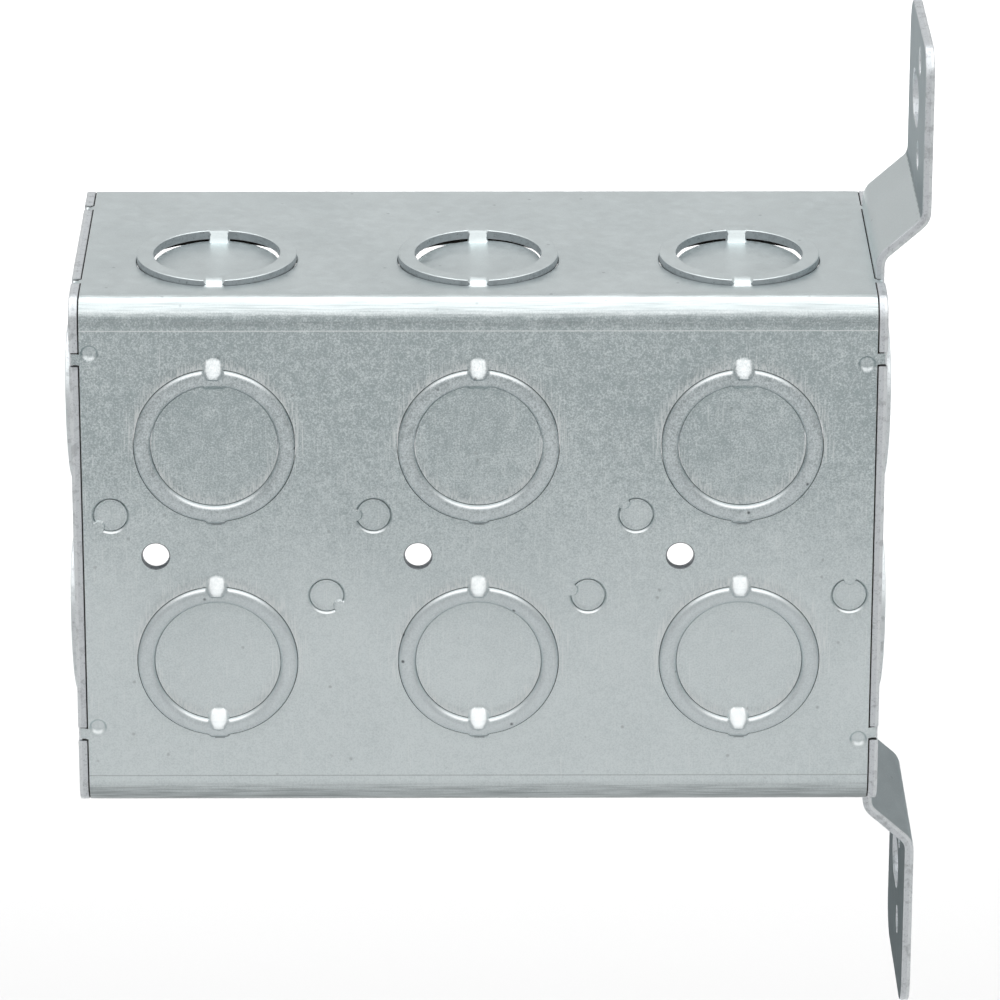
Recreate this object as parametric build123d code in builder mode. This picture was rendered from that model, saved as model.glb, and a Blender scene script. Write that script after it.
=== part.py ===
"""Three-gang masonry box: one folded sheet body closed by two staked end plates.

Frame, in millimetres: +X runs along the row of gangs to the end plate with ears, +Y comes out of the
mouth, +Z is up. The origin is the centre of the mouth, on the plane of the device flanges.
"""
import os

from build123d import *

# Sheet and overall sizes
sheet = 1.59
gang_count = 3
gang_pitch = 46.04
end_margin = 0.4
box_height = 95.25
box_depth = 63.5
back_bend_radius = 4.8
mouth_bend_radius = 2.8

# Device flanges along the mouth, with one tapped screw hole at each end of every gang
flange_height = 10.7
device_screw_inset = 5.953
device_screw_radius = 1.42

# Concentric knockouts: a ring pressed out of the sheet, and a slug pressed back in from the ring
ring_radius = 14.2
slug_radius = 11.1
ring_rise = 1.2
slug_sink = 0.3
knockout_row_spacing = 40.6
knockout_lift = 1.0
knockout_from_back = 23.0
tie_width = 3.0
tie_flat = 0.5
tie_run = 1.4

# Small half-sheared nail knockouts and the screw holes on the back
nail_radius = 3.1
nail_sink = 0.8
nail_tie_radius = 1.1
nail_height = 7.6
nail_lift = 0.5
upper_nail_shift = -18.4
lower_nail_shift = 19.3
upper_nail_tie_angles = (225, 180, 135)
lower_nail_tie_angles = (-40, 160, 90)
back_hole_radius = 2.2
back_hole_shift = -10.6
back_hole_height = 0.5

# Staking tabs of the body and the notches that take them
tab_width = 2.4
tab_clearance = 0.1
back_tab_height = 35.3
back_tab_lift = 1.8

# Offset ears of the right end plate
ear_width = 38.1
ear_length = 41.3
ear_root = 4.8
ear_offset = 7.9
ear_slant_rise = 8.6
ear_bend_radius = 3.2
ear_corner_radius = 6.35
ear_slot_length = 14.0
ear_slot_width = 8.7
ear_slot_reach = 26.0
ear_slot_shift = 3.2
ear_hole_radius = 2.4
ear_hole_reaches = (17.8, 35.0)
ear_hole_shift = -4.4

# Worked out from the sizes above
body_length = gang_count * gang_pitch + 2 * end_margin
half_length = body_length / 2
half_height = box_height / 2
mid_depth = -box_depth / 2
gang_centres = [(i - (gang_count - 1) / 2) * gang_pitch for i in range(gang_count)]
row_heights = {up: knockout_lift + up * knockout_row_spacing / 2 for up in (1, -1)}
ring_middle = (ring_radius + slug_radius) / 2
knockout_y = knockout_from_back - box_depth
edge_tab_shift = (ear_width + tab_width) / 2
side_tab_places = [(mid_depth + sign * edge_tab_shift, up) for sign in (-1, 1) for up in (-1, 1)]
back_tab_places = [back_tab_lift + sign * back_tab_height for sign in (-1, 1)]


def back_plane(x, z, angle=0):
    """Plane on the outside of the back, facing away from the mouth, with its y axis up before it is turned."""
    return Plane(origin=(x, -box_depth, z), x_dir=Vector(1, 0, 0).rotate(Axis.Y, -angle), z_dir=(0, -1, 0))


def side_plane(x, up):
    """Plane on the outside of the top (up = 1) or the bottom (up = -1)."""
    return Plane(origin=(x, knockout_y, up * half_height), x_dir=(1, 0, 0), z_dir=(0, 0, up))


def end_plane(side, z):
    """Plane on the outside of the right (side = 1) or left (side = -1) end plate, with its y axis up."""
    return Plane(origin=(side * (half_length + sheet), knockout_y, z), x_dir=(0, side, 0), z_dir=(side, 0, 0))


def ties(faces, ups, radius, out, foot_level):
    """Bridges over a round shear line at +y (1) or -y (-1) of each face: a short flat, then a ramp out or in."""
    strips = []
    for face in faces:
        for up in ups:
            outward = face.y_dir * up
            strips.append(Plane(origin=face.origin, x_dir=outward, z_dir=outward.cross(face.z_dir)))
    with BuildSketch(*strips) as ramps:
        with BuildLine():
            Polyline((ring_middle, foot_level), (radius + out * (tie_flat + tie_run), foot_level),
                     (radius + out * tie_flat, ring_rise), (ring_middle, ring_rise), close=True)
        make_face()
    extrude(ramps.sketch, amount=tie_width / 2, both=True)


def knockouts(faces, slug_ties):
    """Concentric knockouts: rings pressed proud and tied to the sheet both ways, slugs tied where slug_ties says."""
    with BuildSketch(*faces) as slugs:
        Circle(slug_radius)
    extrude(slugs.sketch, amount=-slug_sink, mode=Mode.SUBTRACT)
    with BuildSketch(*faces) as rings:
        Circle(ring_radius)
        Circle(slug_radius, mode=Mode.SUBTRACT)
    extrude(rings.sketch, amount=ring_rise)
    ties(faces, (1, -1), ring_radius, 1, 0)
    ties(faces, slug_ties, slug_radius, -1, -slug_sink)


def nail_knockouts(faces):
    """Small round knockouts pushed part way in, left whole where a tie bites into the rim at each face's +x."""
    with BuildSketch(*faces) as discs:
        Circle(nail_radius)
        with Locations((nail_radius, 0)):
            Circle(nail_tie_radius, mode=Mode.SUBTRACT)
    extrude(discs.sketch, amount=-nail_sink, mode=Mode.SUBTRACT)


def plate_outline(side):
    """Plate over one end of the body, with its edges notched for the body's tabs."""
    notch_width = tab_width + 2 * tab_clearance
    notch_depth = sheet + tab_clearance
    with BuildSketch(Plane.YZ.offset(side * half_length)) as outline:
        with Locations((mid_depth, 0)):
            Rectangle(box_depth, box_height)
        fillet(outline.vertices().group_by(Axis.X)[0], back_bend_radius)
        fillet(outline.vertices().group_by(Axis.X)[-1], mouth_bend_radius)
        for y, up in side_tab_places:
            with Locations((y, up * (half_height - notch_depth / 2))):
                Rectangle(notch_width, notch_depth, mode=Mode.SUBTRACT)
        for z in back_tab_places:
            with Locations((notch_depth / 2 - box_depth, z)):
                Rectangle(notch_depth, notch_width, mode=Mode.SUBTRACT)
    extrude(outline.sketch, amount=side * sheet)


# Body: the folded section, run along the gangs
with BuildPart() as body:
    with BuildSketch(Plane.YZ) as section:
        with Locations((mid_depth, 0)):
            Rectangle(box_depth, box_height)
        fillet(section.vertices().group_by(Axis.X)[0], back_bend_radius)
        fillet(section.vertices().group_by(Axis.X)[-1], mouth_bend_radius)
        offset(amount=-sheet, mode=Mode.SUBTRACT)
        Rectangle(2 * flange_height, box_height - 2 * flange_height, mode=Mode.SUBTRACT)
    extrude(amount=half_length, both=True)

    # Staking tabs, as thick as the sheet and as long as an end plate is thick
    tab_reach = body_length + 2 * sheet
    for y, up in side_tab_places:
        with Locations((0, y, up * (half_height - sheet / 2))):
            Box(tab_reach, tab_width, sheet)
    for z in back_tab_places:
        with Locations((0, sheet / 2 - box_depth, z)):
            Box(tab_reach, sheet, tab_width)

    for up, height in row_heights.items():
        knockouts([back_plane(x, height) for x in gang_centres], (up,))
    knockouts([side_plane(x, up) for x in gang_centres for up in (1, -1)], (1, -1))

    upper_nails = [back_plane(x + upper_nail_shift, nail_lift + nail_height, angle)
                   for x, angle in zip(gang_centres, upper_nail_tie_angles)]
    lower_nails = [back_plane(x + lower_nail_shift, nail_lift - nail_height, angle)
                   for x, angle in zip(gang_centres, lower_nail_tie_angles)]
    nail_knockouts(upper_nails + lower_nails)

    with BuildSketch(Plane.XZ.offset(box_depth)):
        with Locations(*[(x + back_hole_shift, back_hole_height) for x in gang_centres]):
            Circle(back_hole_radius)
    extrude(amount=-sheet, mode=Mode.SUBTRACT)

    with BuildSketch(Plane.XZ):
        with GridLocations(gang_pitch, box_height - 2 * device_screw_inset, gang_count, 2):
            Circle(device_screw_radius)
    extrude(amount=sheet, mode=Mode.SUBTRACT)

# Left end plate
with BuildPart() as left_end_plate:
    plate_outline(-1)
    knockouts([end_plane(-1, height) for height in row_heights.values()], (1, -1))

# Right end plate, with the two offset ears drawn out of the same sheet
with BuildPart() as right_end_plate:
    plate_outline(1)
    knockouts([end_plane(1, height) for height in row_heights.values()], (1, -1))

    sheet_middle = half_length + sheet / 2
    for up in (1, -1):
        with BuildSketch(Plane.XZ.offset(-mid_depth)):
            with BuildLine():
                FilletPolyline(
                    (sheet_middle, up * (half_height - sheet)),
                    (sheet_middle, up * (half_height + ear_root)),
                    (sheet_middle + ear_offset, up * (half_height + ear_root + ear_slant_rise)),
                    (sheet_middle + ear_offset, up * (half_height + ear_length)),
                    radius=ear_bend_radius,
                )
            trace(line_width=sheet)
        extrude(amount=ear_width / 2, both=True)
    ends = right_end_plate.edges().filter_by(Axis.X).group_by(Axis.Z)
    fillet(ends[0] + ends[-1], ear_corner_radius)

    for up in (1, -1):
        with BuildSketch(Plane.YZ.offset(half_length + ear_offset)):
            with Locations((mid_depth + ear_slot_shift, up * (half_height + ear_slot_reach))):
                SlotOverall(ear_slot_length, ear_slot_width)
            with Locations(*[(mid_depth + ear_hole_shift, up * (half_height + reach))
                             for reach in ear_hole_reaches]):
                Circle(ear_hole_radius)
        extrude(amount=sheet, mode=Mode.SUBTRACT)

body.part.label = "body"
left_end_plate.part.label = "left_end_plate"
right_end_plate.part.label = "right_end_plate"

os.makedirs("parts", exist_ok=True)
export_step(body.part, "parts/body.step")
export_step(left_end_plate.part, "parts/left_end_plate.step")
export_step(right_end_plate.part, "parts/right_end_plate.step")
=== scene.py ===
"""Looks of a three-gang masonry box of galvanised sheet steel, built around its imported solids.

Each sheet-metal piece is drawn flat first, in millimetres: u and v lie in the sheet and h is the height over
its outer face. A fold function then carries (u, v, h) into the part's frame, in metres.
"""
import math
from typing import NamedTuple

import bmesh
import bpy
import numpy as np
from mathutils import Matrix, Vector
from mathutils.geometry import delaunay_2d_cdt


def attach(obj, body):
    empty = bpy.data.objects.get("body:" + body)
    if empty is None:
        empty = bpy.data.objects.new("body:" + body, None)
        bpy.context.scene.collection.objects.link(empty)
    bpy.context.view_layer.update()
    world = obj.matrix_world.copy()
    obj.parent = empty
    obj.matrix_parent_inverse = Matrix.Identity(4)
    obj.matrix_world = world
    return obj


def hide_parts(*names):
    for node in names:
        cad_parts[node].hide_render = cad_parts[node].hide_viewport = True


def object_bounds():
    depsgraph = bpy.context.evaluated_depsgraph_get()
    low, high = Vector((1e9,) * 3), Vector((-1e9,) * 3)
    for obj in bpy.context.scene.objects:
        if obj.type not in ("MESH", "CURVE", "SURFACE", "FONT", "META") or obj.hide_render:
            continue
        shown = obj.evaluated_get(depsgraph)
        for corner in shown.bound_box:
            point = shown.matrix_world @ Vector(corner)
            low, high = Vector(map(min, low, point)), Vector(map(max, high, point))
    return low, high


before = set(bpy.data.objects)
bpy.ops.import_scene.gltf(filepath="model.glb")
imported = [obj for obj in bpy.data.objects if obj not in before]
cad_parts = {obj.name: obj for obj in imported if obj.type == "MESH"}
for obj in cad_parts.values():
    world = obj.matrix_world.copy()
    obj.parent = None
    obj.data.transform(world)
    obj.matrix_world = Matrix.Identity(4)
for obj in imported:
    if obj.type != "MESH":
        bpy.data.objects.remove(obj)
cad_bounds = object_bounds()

MM = 0.001
QUARTER = math.pi / 2

# Sheet and overall sizes in millimetres, as in the part's source
sheet = 1.59
gang_pitch = 46.04
end_margin = 0.4
box_height = 95.25
box_depth = 63.5
back_bend = 4.8
mouth_bend = 2.8
flange_height = 10.7
half_length = 1.5 * gang_pitch + end_margin
half_height = box_height / 2
mid_depth = -box_depth / 2
gang_centres = np.array([-gang_pitch, 0.0, gang_pitch])

# Concentric knockouts: places and radii as in the part's source, and the flat collar drawn round each
ring_radius = 14.2
slug_radius = 11.1
row_heights = {1: 21.3, -1: -19.3}
knockout_from_back = 23.0
knockout_y = knockout_from_back - box_depth
collar_radius = 17.0
ring_ties = (QUARTER, -QUARTER)
row_middle = (row_heights[1] + row_heights[-1]) / 2
row_half = (row_heights[1] - row_heights[-1]) / 2

# Profiles beside the shear lines: radii of the collar's and the slug's rows, edges as (width, depth), and
# how far from the line the rims are drawn up
collar_rows = np.append(collar_radius, ring_radius + np.array([2.5, 2.2, 1.9, 1.5, 1.1, 0.7, 0.4]))
slug_rows = np.append([0.0, 3.0, 6.0, 8.0], slug_radius - np.array([2.2, 1.9, 1.6, 1.25, 0.9, 0.6, 0.35]))
collar_edge = (0.22, 0.12)
slug_edge = (0.14, 0.1)
ring_under_edge = (0.12, 0.08)
collar_lip_reach = 2.0
slug_lip_reach = 1.9

# Ties: places along one from foot to top, with the shares of its climb and of its crown there
tie_climb = ((0, 0.8, 0.9, 1), (0, 0.94, 0.99, 1))
tie_crown = ((0, 0.75, 0.84, 0.93, 1), (0, 0.92, 1, 0.5, 0))
crown_margin = 0.4      # half width of a crown beyond its tie's
sag_spread = 0.12       # share of a ring's radius over which it dips at its near tie
dark_foot = 0.8         # length of the foot of a crowned ring's lower tie, painted dark as shade
dark_foot_share = 0.3   # least value of a tie's window where its foot is painted dark as shade
tie_overlap = 0.01      # how far a slug reaches into its ring at a tie

# Slope of each gang's top and bottom slug along the box
slug_tilts = (0.0, 0.04, 0.0)

# Nail knockouts, shallower than in the part's source and with a groove round the disc. Their profile runs
# from the collar to the middle of the outer face, as (radius, depth), and back to the collar on the inner
# face
nail_radius = 3.1
nail_sink = 0.55
nail_groove = 0.8
nail_collar = 3.45
nail_tie_radius = 1.1
nail_tie_edge = 0.07            # half width of the step round a tie
nail_tie_drop = 0.12            # depth of a tie's inner end
nail_tie_slope = (0.3, -1.2)    # start and end of a tie's slope, from the disc's rim outwards
nail_heights = {1: 8.1, -1: -7.1}
nail_shifts = {1: -18.4, -1: 19.3}
nail_ties = {1: (225, 180, 135), -1: (-40, 160, 90)}
nail_face = np.array([
    (nail_collar, 0), (3.4, 0.02), (3.33, 0.07), (3.25, 0.15), (3.17, 0.25), (3.09, 0.36), (3.02, 0.47),
    (3.01, nail_groove), (2.93, nail_groove), (2.92, 0.42), (2.84, 0.35), (2.7, 0.36), (2.55, 0.43),
    (2.4, 0.5), (2.2, nail_sink), (2.0, nail_sink), (1.8, nail_sink), (1.4, nail_sink), (0.0, nail_sink)])
nail_inside = np.array([
    (0.0, nail_sink), (1.4, nail_sink), (1.8, nail_sink), (2.0, nail_sink), (2.2, nail_sink),
    (2.4, nail_sink), (2.6, nail_sink), (2.95, nail_sink), (nail_radius, 0), (3.3, 0), (nail_collar, 0)])

# Round holes; those in the back are a little larger than in the part's source
round_angles = np.linspace(0, 2 * math.pi, 40, endpoint=False)
back_hole_radius = 2.35
back_hole_shift = -10.6
back_hole_height = 0.5
device_screw_radius = 1.42
device_screw_inset = 5.953

# Staking tabs and their notches; the tabs are a little shorter than in the part's source
tab_width = 2.4
tab_clearance = 0.1
back_tab_heights = {1: 37.1, -1: -33.5}
tab_short = 0.2                 # distance of a tab's end from the plate's outer face
tab_press = 0.45                # how far a tab is pressed in
tab_press_change = 0.5          # share by which that varies along v
tab_press_wave = 3.1            # radians of that wave for each millimetre
tab_press_root = (-0.25, 0.1)   # where the pressing starts and is full, from the body's end outwards
seam_shade_reach = (-0.1, 1.0)        # where walls are painted dark as shade in the seam, from the body's end outwards

# Punch marks beside the tabs, at (end, height)
dent_places = ((-1, 38.2), (-1, -32.2), (1, 36.1), (1, -34.7))
dent_radius = 1.45
dent_reach = 1.7
dent_depth = 0.6
dent_fade = 0.05                # further depth inside dent_radius, which fades out to dent_reach
dent_lip = 0.2                  # width of the wall outside dent_radius
dent_wall = 0.35                # width of the wall inside it
dent_slope = 0.75               # extra width of the wall at the lower rim
dent_margin = 0.25              # distance of the mark from the body's end
dent_rows = np.array([dent_reach, 1.62, 1.54, 1.46, 1.38, 1.3, 1.2, 1.1, 0.9, 0.7, 0.5, 0.3, 0.0])

# Ears of the right end plate. Their lengths, the rise of their slant and their drop are the photograph's;
# the part's source has two equal ears
ear_width = 38.1
ear_lengths = {1: 40.9, -1: 46.8}
ear_root = 4.8
ear_offset = 7.9
ear_slant_rise = 7.0
ear_drop = 1.2
ear_bend = 3.2
ear_corner = 6.35
ear_slot_length = 14.0
ear_slot_width = 8.7
ear_slot_reach = 26.0
ear_slot_shift = 3.2
ear_hole_radius = 2.4
ear_hole_reaches = (17.8, 35.0)
ear_hole_shift = -4.4

# Worked out from the sizes above: lengths along the body's section and along an ear
back_end = half_height - back_bend
side_start = back_end + back_bend * QUARTER
side_end = side_start + box_depth - back_bend - mouth_bend
flange_start = side_end + mouth_bend * QUARTER
section_end = flange_start + flange_height - mouth_bend
edge_tab_shift = (ear_width + tab_width) / 2
ear_angle = math.atan2(ear_offset, ear_slant_rise)
ear_tangent = ear_bend * math.tan(ear_angle / 2)
ear_slant = math.hypot(ear_offset, ear_slant_rise) - 2 * ear_tangent
ear_bend_start = half_height + ear_root - ear_tangent
ear_slant_start = ear_bend_start + ear_bend * ear_angle
ear_bend_back = ear_slant_start + ear_slant
ear_flat_start = ear_bend_back + ear_bend * ear_angle
ear_flat_height = half_height + ear_root + ear_slant_rise + ear_tangent
ear_extra = ear_flat_start - ear_flat_height

# Meshing
edge_rim = 0.2              # radius of the rolled edges of sheared walls
edge_step = 0.6             # longest stretch of an outline
slot_step = 0.8             # longest stretch of a slot
lattice_margin = 1.5        # distance of the lattice from the body's ends
outline_clearance = 0.35    # least distance of the lattice from an outline
loop_clearance = 0.4        # least distance of the lattice from a hole or a patch
delaunay_limit = 1e-7       # points closer than this are one
merge_distance = 2e-7       # points closer than this are merged, in metres
collapse_distance = 1e-7    # edges shorter than this are removed, in metres
smooth_limit = 38           # largest angle that is shaded smooth, in degrees

# Depths between which marks of the zinc, the painted shade and the painted highlights grow to their full
# strength, on the back's outer face and on the rear parts of the bends
back_depths = (-62.2, -63.2)
rear_depths = (-57.5, -60.0)

# Finishes of faces, in the order of the list of materials
SKIN, BURNISHED, FRACTURED, RUBBED, TAPPED, CREVICE_SHADE, DULL_SHADED, TORN_SHADED, LOWER_EAR_SHADE = range(9)


class Pressing(NamedTuple):
    """How a knockout was pressed, in millimetres. A tie is given as (foot, crest): how far it runs from its
    shear line over the sheet or the slug, and over the ring. Ties come in pairs, the one at +v first."""

    sink: float             # depth of the slug's face below the sheet's
    rise: float             # height of the ring's face over the sheet's
    roll: tuple             # width and depth of the ring's rolled edges
    gap: float              # width of a shear line
    outer_ties: tuple       # the ring's ties to the sheet
    inner_ties: tuple       # the slug's ties to the ring
    tie_half_width: float   # half the width of a tie
    tie_edge: float         # width of the slope beside a tie
    tie_power: float        # power of a tie's plan, a superellipse: an oval at 2, nearly square at 10
    lip: float = 0.0        # how far the collar's and the slug's rims are drawn up towards the ring
    crown: float = 0.0      # height of the bump on the ties whose slope faces +v
    sag: float = 0.0        # how far the ring dips at its near tie
    lean: float = 0.0       # how far the ring slopes down towards its near tie
    bow: float = 0.0        # how far the slug rises from its middle to its ties


back_pressing = Pressing(
    sink=0.15, rise=1.2, roll=(1.2, 0.98), gap=0.07, lip=0.42, crown=1.2,
    outer_ties=((2.1, 1.9), (0.8, 0.6)), inner_ties=((0.9, 0.7), (2.1, 1.9)),
    tie_half_width=2.1, tie_edge=0.7, tie_power=2.0)
side_pressing = Pressing(
    sink=0.7, rise=1.35, roll=(0.3, 0.14), gap=0.12, sag=0.1, lean=0.3, bow=0.5,
    outer_ties=((0.8, 0.3), (0.8, 2.0)), inner_ties=((0.8, 0.6), (0.8, 0.3)),
    tie_half_width=1.85, tie_edge=0.35, tie_power=10.0)
mirrored_pressing = side_pressing._replace(
    outer_ties=side_pressing.outer_ties[::-1], inner_ties=side_pressing.inner_ties[::-1])


def smooth(value, start, stop):
    """Smoothstep: 0 before start, 1 after stop, and 3t^2 - 2t^3 between them, whichever way they run."""
    t = np.clip((value - start) / (stop - start), 0, 1)
    return t * t * (3 - 2 * t)


def fold_body(u, v, h):
    """Carries the flat along the body's section: the back is flat about v = 0, and each way from there
    the section turns a quarter circle into a side, runs flat to the mouth and turns a quarter circle into
    a flange."""
    run = np.abs(v)
    first = np.clip((run - back_end) / back_bend, 0, QUARTER)
    second = np.clip((run - side_end) / mouth_bend, 0, QUARTER)
    turn = first + second
    along_side = np.clip(run - side_start, 0, side_end - side_start)
    along_flange = np.maximum(run - flange_start, 0)
    y = back_bend * (1 - np.cos(first)) + along_side + mouth_bend * np.sin(second) - box_depth
    z = np.minimum(run, back_end) + back_bend * np.sin(first)
    z = z - mouth_bend * (1 - np.cos(second)) - along_flange
    z = np.where(v < 0, -1, 1) * (z + h * np.sin(turn))
    return np.stack([u, y - h * np.cos(turn), z], -1) * MM


def fold_plate(side):
    """Fold function of the end plate at +X or -X: u is the depth y and v the height, and beyond the
    plate's edge an ear turns out by one bend, runs on a slant and turns back upright by a second one. The
    bends of both ears sit ear_drop lower than mirrored ones would."""
    def fold(u, v, h):
        height = v + ear_drop
        run = np.abs(height)
        out = np.clip((run - ear_bend_start) / ear_bend, 0, ear_angle)
        back = np.clip((run - ear_bend_back) / ear_bend, 0, ear_angle)
        slant = np.clip(run - ear_slant_start, 0, ear_slant)
        along_flat = np.maximum(run - ear_flat_start, 0)
        turn = out - back
        x = ear_bend * (1 - np.cos(out)) + slant * math.sin(ear_angle)
        x = x + ear_bend * (np.cos(ear_angle - back) - math.cos(ear_angle))
        z = np.minimum(run, ear_bend_start) + ear_bend * np.sin(out) + slant * math.cos(ear_angle)
        z = z + ear_bend * (math.sin(ear_angle) - np.sin(ear_angle - back)) + along_flat
        over_middle = sheet / 2 + h
        x = side * (half_length + sheet / 2 + x + over_middle * np.cos(turn))
        z = np.where(height < 0, -1, 1) * (z - over_middle * np.sin(turn)) - ear_drop
        return np.stack([x, u, z], -1) * MM
    return fold


class Blank:
    """Patches of one sheet-metal piece, kept flat as (u, v, h) points with faces and a finish for each
    face."""

    def __init__(self):
        self.points = []
        self.faces = []
        self.finishes = []
        self.count = 0

    def add(self, points, faces, finish):
        """A patch of points and faces, with one finish for each face."""
        self.points.append(points)
        self.faces.append(faces + self.count)
        self.finishes.append(finish)
        self.count += len(points)

    def add_rows(self, u, v, h, finish, closed_rows=False):
        """A grid whose columns run round a loop; closed_rows joins the last row to the first. finish is
        one value, one for each band between rows, or one for each face of each band."""
        rows, columns = u.shape
        bands = np.arange(rows if closed_rows else rows - 1)[:, None]
        loop = np.arange(columns)[None, :]
        following = (loop + 1) % columns
        low = bands * columns
        high = (bands + 1) % rows * columns
        quads = np.stack([low + loop, low + following, high + following, high + loop], -1)
        finish = np.asarray(finish)
        if finish.ndim == 1:
            finish = finish[:, None]
        finish = np.broadcast_to(finish, quads.shape[:2])
        self.add(np.stack([u, v, h], -1).reshape(-1, 3), quads.reshape(-1, 4), finish.ravel())

    def add_turned(self, centre, angles, radius, height, finish, closed_rows=False):
        """A profile turned round a centre: each of its rows is a loop of points at a radius and a
        height."""
        u = centre[0] + radius * np.cos(angles)
        v = centre[1] + radius * np.sin(angles)
        self.add_rows(u, v, height, finish, closed_rows)


def circle_loop(centre, radius, angles):
    """Points of a circle in the flat."""
    return np.stack([centre[0] + radius * np.cos(angles), centre[1] + radius * np.sin(angles)], -1)


def arc_points(centre, radius, start, stop, steps=8):
    """Points of an arc from one angle to another, in degrees."""
    return circle_loop(centre, radius, np.radians(np.linspace(start, stop, steps + 1)))


def polar_angles(directions, count=88, fan=11, spread=0.18, least_step=0.006):
    """Angles round a circle: even steps, with a close fan of extra ones across each tie's direction. Of
    two that lie within least_step of each other, one is dropped."""
    even = np.linspace(0, 2 * math.pi, count, endpoint=False)
    fans = [direction + np.linspace(-spread, spread, 2 * fan + 1) for direction in directions]
    angles = np.sort(np.concatenate([even, *fans]) % (2 * math.pi))
    return angles[np.append(np.diff(angles) > least_step, True)]


def nail_angles(tie):
    """Angles round a nail knockout, close together across its tie."""
    return polar_angles((math.radians(tie),), count=60, fan=14, spread=0.45)


def quarter_round(reach, drop, steps=4):
    """Rows of a rolled-over edge: (distance back from the edge, depth below the face), a quarter of an
    ellipse."""
    angle = np.linspace(0, QUARTER, steps + 1)
    return reach * (1 - np.sin(angle)), drop * (1 - np.cos(angle))


def wall_rows(top, bottom, count=4):
    """Depths of the rows inside a sheared wall, which part it into count bands."""
    return np.linspace(top, bottom, count + 1)[1:-1]


def sheared_finish(count, burnished=0.4):
    """Finish of the bands down a sheared wall: burnished where the tool rubbed it, then fractured."""
    place = (np.arange(count) + 0.5) / count
    return np.where(place < burnished, BURNISHED, FRACTURED)


def tie_height(run, low, high, crown):
    """Height along a tie, where run goes from 0 at its foot to 1 at its top: a straight climb from low to
    high that eases at the top, and over it a crown that grows with the climb and drops off before the
    top."""
    return low + (high - low) * np.interp(run, *tie_climb) + crown * np.interp(run, *tie_crown)


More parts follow.
